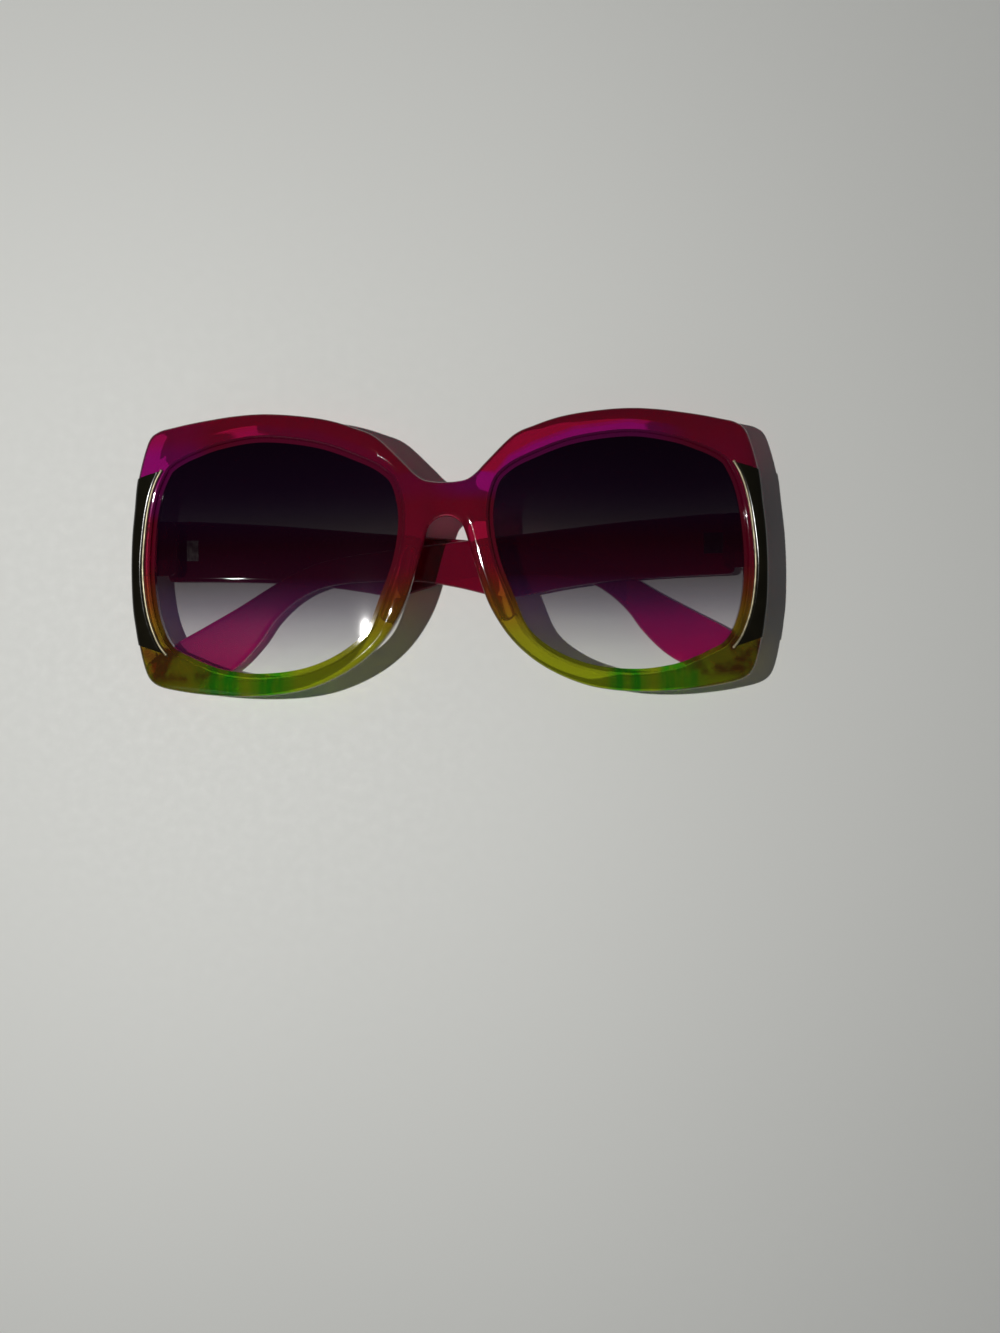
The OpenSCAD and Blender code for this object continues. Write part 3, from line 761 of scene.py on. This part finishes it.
class SUNGLASSES_OT_front(bpy.types.Operator):
    """Moulds the front: both rims, the bridge, the nose pads and the end pieces in one piece"""

    bl_idname = "sunglasses.front"
    bl_label = "Front"

    def execute(self, context):
        f = Front()
        outer, inner = step_curve(OUTER_ROUND), step_curve(INNER_ROUND)
        back, back_inner = step_curve(BACK_ROUND), step_curve(BACK_INNER_ROUND)
        hole = f.grown(0, 12)
        holes = [hole, hole * np.array((-1, 1))]

        def top(p, d_out, d_in):
            return f.arc(p[:, 0]) - np.minimum(outer(d_out) + inner(d_in), CROWN_DROP)

        def bottom(p, d_out, d_in):
            return f.arc(p[:, 0]) - f.rim_t + np.minimum(back(d_out) + back_inner(d_in), BACK_DROP)

        def at(z):
            return lambda p: f.arc(p[:, 0]) + z

        front_wall, back_wall = at(GROOVE_FRONT), at(GROOVE_BACK)
        groove = [(0, front_wall), (GROOVE_DEPTH, front_wall), (GROOVE_DEPTH, back_wall), (0, back_wall)]
        points, quads = plate(f.outline(), holes, OUTER_ROUND[0], INNER_ROUND[0], top, bottom, groove)
        shell = new_object("front_shell", points, quads)
        added, taken = [], []
        for _, side in SIDES:
            added += [self.nose_pad(f, side), self.end_piece(f, side)]
            taken += [self.recess(f, side), *self.hinge_room(f, side)]
        join_or_cut(shell, added, "UNION")
        join_or_cut(shell, taken, "DIFFERENCE")
        shell.data.transform(Matrix.Rotation(-f.lie, 4, "Y"))
        shell.data.transform(Matrix.Translation((f.shift * MM, 0, f.lift * MM)))
        keep_in_box(shell, "front_frame")
        tidy(shell, sharp=30)
        shell.data.materials.clear()
        shell.data.materials.append(front_plastic())
        finish_piece(shell, "front", "frame_plastic", "front_frame")
        return {"FINISHED"}

    @staticmethod
    def nose_pad(f, side):
        points = []
        for t, reach, r in PAD_BALLS:
            x, y = (f.opening(t) + f.edge(t)) / 2 + (PAD_ASIDE, 0)
            z = f.arc(x) - f.rim_t
            points += ball((x, y, z - PAD_REACH * reach + r), r, 13, 24)
            points += ball((x, y, z + PAD_ROOT_UP), PAD_ROOT_R, 9, 16)
        return hull(mirrored(points, side), "pad")

    @staticmethod
    def end_piece(f, side):
        top = f.arc(f.centre[0] + f.lens[0] + LENS_SEAT) - END_TOP
        inner, outer, r = f.hinge_x - END_IN, f.half_w - END_OUT, END_CORNER
        levels = [(top, r), *((f.end_z + up, r - loss) for up, loss in END_EDGE)]
        points = []
        for x in (inner + r, outer - r):
            for y in (-END_HALF_H + r, END_HALF_H - r):
                for a in turn(32):
                    for z, radius in levels:
                        reach = (math.cos(a) * radius, math.sin(a) * radius)
                        points.append((x + reach[0], f.hinge_y + y + reach[1], z))
        return hull(mirrored(points, side), "lug")

    @staticmethod
    def recess(f, side):
        ts = np.linspace(TRIM_FROM, TRIM_TO, RECESS_POINTS)
        pairs = [(f.wire_line(t), f.from_edge(t, RECESS_OUT)) for t in ts]
        section = ((0, RECESS_TOP), (1, RECESS_TOP), (1, RECESS_LOW), (0, RECESS_LOW))
        points, quads = band(pairs, section, f.arc)
        return new_object("recess", mirrored(points, side), quads)

    @staticmethod
    def hinge_room(f, side):
        """The leaf's seat and the groove that the knuckles turn in"""
        x, y, z = f.hinge_x, f.hinge_y, f.hinge_z
        box = [(x + a, y + b, z + c) for a in SEAT_X for b in (-SEAT_HALF_H, SEAT_HALF_H) for c in SEAT_Z]
        rod = [(x + KNUCKLE_ROOM * math.cos(a), y + end, z + KNUCKLE_ROOM * math.sin(a))
               for end in KNUCKLE_ENDS for a in turn(48)]
        return [hull(mirrored(box, side), "seat"), hull(mirrored(rod, side), "groove")]


class SUNGLASSES_OT_lenses(bpy.types.Operator):
    """Cuts the two gradient lenses, curved with the front and seated in its grooves"""

    bl_idname = "sunglasses.lenses"
    bl_label = "Lenses"

    def execute(self, context):
        f = Front()
        material = lens_plastic()
        edge = f.grown(LENS_SEAT, 8)
        per = len(edge)
        for name, side in SIDES:
            rings, quads = [], []
            for face in (1, -1):
                for share, drop in list(zip(LENS_SHARES, LENS_DROPS))[::face]:
                    xy = f.centre + (edge - f.centre) * max(share, LENS_HUB)
                    depth = LENS_DEPTH + drop if face == 1 else LENS_DEPTH + f.lens_t - drop
                    rings.append(np.column_stack((xy, f.arc(xy[:, 0]) - depth)))
            for i in range(len(rings) - 1):
                for k in range(per):
                    j = (k + 1) % per
                    quads.append((i * per + k, i * per + j, (i + 1) * per + j, (i + 1) * per + k))
            quads.append(tuple(range(per)))
            quads.append(tuple((len(rings) - 1) * per + k for k in range(per - 1, -1, -1)))
            points = f.row(mirrored(np.concatenate(rings), side))
            obj = new_object(f"{name}_gradient_lens", points, quads, material, sharp=60)
            finish_piece(obj, "front", "lens_plastic", f"{name}_lens")
        return {"FINISHED"}


class SUNGLASSES_OT_side_trims(bpy.types.Operator):
    """Sets the dark inlays into the sides of the front"""

    bl_idname = "sunglasses.side_trims"
    bl_label = "Side trims"

    def execute(self, context):
        f = Front()
        wire = sizes().wire_w / MM
        material = plain_finish("dark_inlay", (0.0065, 0.0055, 0.0025), 0.14, 700, metal=0.0, shine=0.3)
        ts = np.linspace(TRIM_FROM + TRIM_SHORT, TRIM_TO - TRIM_SHORT, TRIM_POINTS)
        for name, side in SIDES:
            pairs = [(f.from_wire(t, wire + 2 * WIRE_GAP), f.from_edge(t, TRIM_OUT)) for t in ts]
            points, quads = band(pairs, TRIM_PROFILE, f.arc)
            points = f.row(mirrored(points, side))
            obj = new_object(f"{name}_dark_inlay", points, quads, material, sharp=40)
            finish_piece(obj, "front", "trim_plastic", f"{name}_side_trim")
        return {"FINISHED"}


class SUNGLASSES_OT_trim_wires(bpy.types.Operator):
    """Lays a pale wire along the inner side of each dark inlay"""

    bl_idname = "sunglasses.trim_wires"
    bl_label = "Trim wires"

    def execute(self, context):
        f = Front()
        wire = sizes().wire_w
        material = plain_finish("pale_wire", (0.44, 0.39, 0.26), 0.46, 2500, metal=0.9, stretch=(1, 0.2, 1))
        ts = np.linspace(TRIM_FROM + TRIM_SHORT, TRIM_TO - TRIM_SHORT, WIRE_POINTS)
        for name, side in SIDES:
            line = np.array([f.from_wire(t, wire / MM / 2 + WIRE_GAP) for t in ts])
            path = np.column_stack((line, f.arc(line[:, 0]) - WIRE_DEPTH))
            mesh = bpy.data.meshes.new(f"{name}_pale_wire")
            verts = [tuple(p * MM) for p in f.row(mirrored(path, side))]
            mesh.from_pydata(verts, [(k, k + 1) for k in range(len(verts) - 1)], [])
            obj = bpy.data.objects.new(f"{name}_pale_wire", mesh)
            context.scene.collection.objects.link(obj)
            tree, inputs = wire_tree(material)
            m = obj.modifiers.new("wire", "NODES")
            m.node_group = tree
            m[inputs["Radius"]] = wire / 2
            settle(obj)
            tidy(obj, sharp=50)
            finish_piece(obj, "front", "wire_metal", f"{name}_trim_wire")
        return {"FINISHED"}


def wire_tree(material):
    """Sweeps a round section along a path, with a ball at each end"""
    around, rings, ball_size = 14, 9, 1.25
    tree = bpy.data.node_groups.new("wire", "GeometryNodeTree")
    face = tree.interface
    face.new_socket("Geometry", in_out="INPUT", socket_type="NodeSocketGeometry")
    radius = face.new_socket("Radius", in_out="INPUT", socket_type="NodeSocketFloat")
    face.new_socket("Geometry", in_out="OUTPUT", socket_type="NodeSocketGeometry")
    new, join = tree.nodes.new, tree.links.new
    start, end = new("NodeGroupInput"), new("NodeGroupOutput")
    curve, sweep = new("GeometryNodeMeshToCurve"), new("GeometryNodeCurveToMesh")
    circle = new("GeometryNodeCurvePrimitiveCircle")
    circle.inputs["Resolution"].default_value = around
    sweep.inputs["Fill Caps"].default_value = True
    join(start.outputs["Geometry"], curve.inputs[0])
    join(curve.outputs[0], sweep.inputs["Curve"])
    join(start.outputs["Radius"], circle.inputs["Radius"])
    join(circle.outputs["Curve"], sweep.inputs["Profile Curve"])
    ends, bead = new("GeometryNodeCurveEndpointSelection"), new("GeometryNodeMeshUVSphere")
    put, both = new("GeometryNodeInstanceOnPoints"), new("GeometryNodeJoinGeometry")
    bead.inputs["Segments"].default_value = around
    bead.inputs["Rings"].default_value = rings
    size = new("ShaderNodeMath")
    size.operation = "MULTIPLY"
    size.inputs[1].default_value = ball_size
    join(start.outputs["Radius"], size.inputs[0])
    join(size.outputs[0], bead.inputs["Radius"])
    join(curve.outputs[0], put.inputs["Points"])
    join(ends.outputs[0], put.inputs["Selection"])
    join(bead.outputs["Mesh"], put.inputs["Instance"])
    join(sweep.outputs[0], both.inputs[0])
    join(put.outputs[0], both.inputs[0])
    real, paint = new("GeometryNodeRealizeInstances"), new("GeometryNodeSetMaterial")
    paint.inputs["Material"].default_value = material
    join(both.outputs[0], real.inputs[0])
    join(real.outputs[0], paint.inputs[0])
    join(paint.outputs[0], end.inputs[0])
    return tree, {"Radius": radius.identifier}


class SUNGLASSES_OT_temples(bpy.types.Operator):
    """Shapes the two wide temples with their dropped tips"""

    bl_idname = "sunglasses.temples"
    bl_label = "Temples"

    def execute(self, context):
        f = Front()
        thick = sizes().temple_t / MM
        length = sizes().temple_len / MM
        material = temple_plastic()
        per_row = 8
        ts = np.arange((len(TEMPLE_ROWS) - 1) * per_row + 1) / per_row
        lines = np.array([on_line(TEMPLE_ROWS, t) for t in ts])
        lines[:, (0, 2)] *= length / ROWS_LENGTH
        outline = np.concatenate((lines[:, 2:], lines[::-1, :2]))
        rounding = step_curve(TEMPLE_ROUND)

        def curl(p):
            return CURL * (np.maximum(0, p[:, 0] / length - CURL_FROM) / CURL_RUN) ** 2

        def top(p, d_out, _):
            return -TEMPLE_FACE + curl(p) - rounding(d_out)

        def bottom(p, d_out, _):
            return -TEMPLE_FACE - thick + curl(p) + rounding(d_out)

        seat_zs = (-TEMPLE_FACE - SEAT_DEPTH, -TEMPLE_FACE + 1)
        seat = [(x, y, z) for x in TEMPLE_SEAT_X for y in (-SEAT_HALF_H, SEAT_HALF_H) for z in seat_zs]
        for name, side in SIDES:
            points, quads = plate(outline, [], TEMPLE_ROUND[0], (), top, bottom, grid=TEMPLE_GRID)
            obj = new_object(f"{name}_arm", points, quads, sharp=40)
            if side == RIGHT:
                obj.data.transform(Matrix.Rotation(RIGHT_BEND, 4, "Z"))
            join_or_cut(obj, [hull(seat, "seat")], "DIFFERENCE")
            if side == LEFT:
                obj.data.transform(Matrix.Scale(-1, 4, (1, 0, 0)))
            obj.data.transform(Matrix.Translation(Vector(f.hinge(side)) * MM))
            tidy(obj, sharp=40)
            obj.data.materials.clear()
            obj.data.materials.append(material)
            finish_piece(obj, f"{name}_arm", "temple_plastic", f"{name}_temple")
        return {"FINISHED"}


class SUNGLASSES_OT_hinges(bpy.types.Operator):
    """Gives the hinge leaves near-black nickel and their slotted screws turned steel"""

    bl_idname = "sunglasses.hinges"
    bl_label = "Hinges"

    def execute(self, context):
        # The leaves are near black, far darker than bare nickel
        nickel, steel = (0.032, 0.030, 0.028), (0.52, 0.50, 0.47)
        leaf = plain_finish("near_black_nickel", nickel, 0.38, 2600, stretch=(1, 0.15, 1), spread=0.4)
        screw = plain_finish("turned_steel", steel, 0.26, 3000, stretch=(1, 4, 1), spread=0.3)
        for name, _ in SIDES:
            for piece, material in (("front_leaf", leaf), ("temple_leaf", leaf), ("hinge_screw", screw)):
                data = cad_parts[f"{name}_{piece}"].data
                data.materials.clear()
                data.materials.append(material)
        return {"FINISHED"}


class SUNGLASSES_OT_stage(bpy.types.Operator):
    """Lays the pale table, hangs the two lamps and sets the camera straight above"""

    bl_idname = "sunglasses.stage"
    bl_label = "Stage"

    def execute(self, context):
        scene = context.scene
        scene.view_settings.view_transform = "Standard"
        n = Nodes("pale_table")
        base = n.mix(n.span(n.noise(3, 2), 0.3, 0.7), (0.78, 0.79, 0.77), (0.83, 0.84, 0.82))
        n.set(Base_Color=base, Roughness=n.span(n.noise(400, 3), 0.3, 0.7, 0.55, 0.7))
        reach = 4
        corners = [(a * reach, b * reach, 0) for a, b in ((-1, -1), (1, -1), (1, 1), (-1, 1))]
        mesh = bpy.data.meshes.new("table")
        mesh.from_pydata(corners, [], [(0, 1, 2, 3)])
        table = bpy.data.objects.new("table", mesh)
        mesh.materials.append(n.material)
        scene.collection.objects.link(table)
        world = bpy.data.worlds.new("room")
        scene.world = world
        world.use_nodes = True
        sky = world.node_tree.nodes["Background"].inputs
        sky["Color"].default_value = (0.93, 0.96, 1.0, 1)
        sky["Strength"].default_value = 0.065
        self.lamp("window", (-0.137, -0.006, 0.480), 0.006, 1.6, (1.0, 0.99, 0.96))
        self.lamp("fill", (-0.9, -0.9, 1.0), 0.6, 0.3, (0.94, 1.0, 0.97))
        self.camera(scene)
        return {"FINISHED"}

    @staticmethod
    def lamp(name, at, size, power, colour):
        data = bpy.data.lights.new(name, "AREA")
        data.shape = "DISK"
        data.size, data.energy, data.color = size, power, colour
        lamp = bpy.data.objects.new(name, data)
        bpy.context.scene.collection.objects.link(lamp)
        lamp.location = at
        lamp.rotation_euler = (-Vector(at)).to_track_quat("-Z", "Y").to_euler()

    @staticmethod
    def camera(scene):
        width_px, height_px, mm_per_px = 1000, 1333, 0.2327
        middle_x_px, middle_y_px = 447, 553
        distance, plane_z, sensor = 350.0, 22, 36
        data = bpy.data.cameras.new("camera")
        data.sensor_width = sensor
        data.lens = sensor * distance / (height_px * mm_per_px)
        data.clip_start, data.clip_end = 0.01, 20
        camera = bpy.data.objects.new("camera", data)
        scene.collection.objects.link(camera)
        roll = math.radians(0.76)
        right = Vector((math.cos(roll), -math.sin(roll), 0))
        up = Vector((math.sin(roll), math.cos(roll), 0))
        aside, below = width_px / 2 - middle_x_px, height_px / 2 - middle_y_px
        centre = right * aside * mm_per_px - up * below * mm_per_px
        camera.location = (centre + Vector((0, 0, plane_z + distance))) * MM
        camera.rotation_euler = (0, 0, -roll)
        scene.camera = camera


OPERATORS = (
    SUNGLASSES_OT_front, SUNGLASSES_OT_lenses, SUNGLASSES_OT_side_trims, SUNGLASSES_OT_trim_wires,
    SUNGLASSES_OT_temples, SUNGLASSES_OT_hinges, SUNGLASSES_OT_stage,
)


class SUNGLASSES_PT_parts(bpy.types.Panel):
    """Lists the pieces of the sunglasses"""

    bl_label = "Sunglasses"
    bl_idname = "SUNGLASSES_PT_parts"
    bl_space_type = "VIEW_3D"
    bl_region_type = "UI"
    bl_category = "Sunglasses"

    def draw(self, context):
        for group in (context.scene.sunglasses_sizes, context.scene.sunglasses_colours):
            for key in group.__annotations__:
                self.layout.prop(group, key)
        for operator in OPERATORS:
            self.layout.operator(operator.bl_idname)


CLASSES = (SunglassesSizes, SunglassesColours, *OPERATORS, SUNGLASSES_PT_parts)


def register():
    for cls in CLASSES:
        bpy.utils.register_class(cls)
    bpy.types.Scene.sunglasses_sizes = PointerProperty(type=SunglassesSizes)
    bpy.types.Scene.sunglasses_colours = PointerProperty(type=SunglassesColours)


def unregister():
    del bpy.types.Scene.sunglasses_colours
    del bpy.types.Scene.sunglasses_sizes
    for cls in reversed(CLASSES):
        bpy.utils.unregister_class(cls)


def main():
    register()
    bpy.ops.sunglasses.front()
    bpy.ops.sunglasses.lenses()
    bpy.ops.sunglasses.side_trims()
    bpy.ops.sunglasses.trim_wires()
    bpy.ops.sunglasses.temples()
    bpy.ops.sunglasses.hinges()
    bpy.ops.sunglasses.stage()


if __name__ == "__main__":
    main()
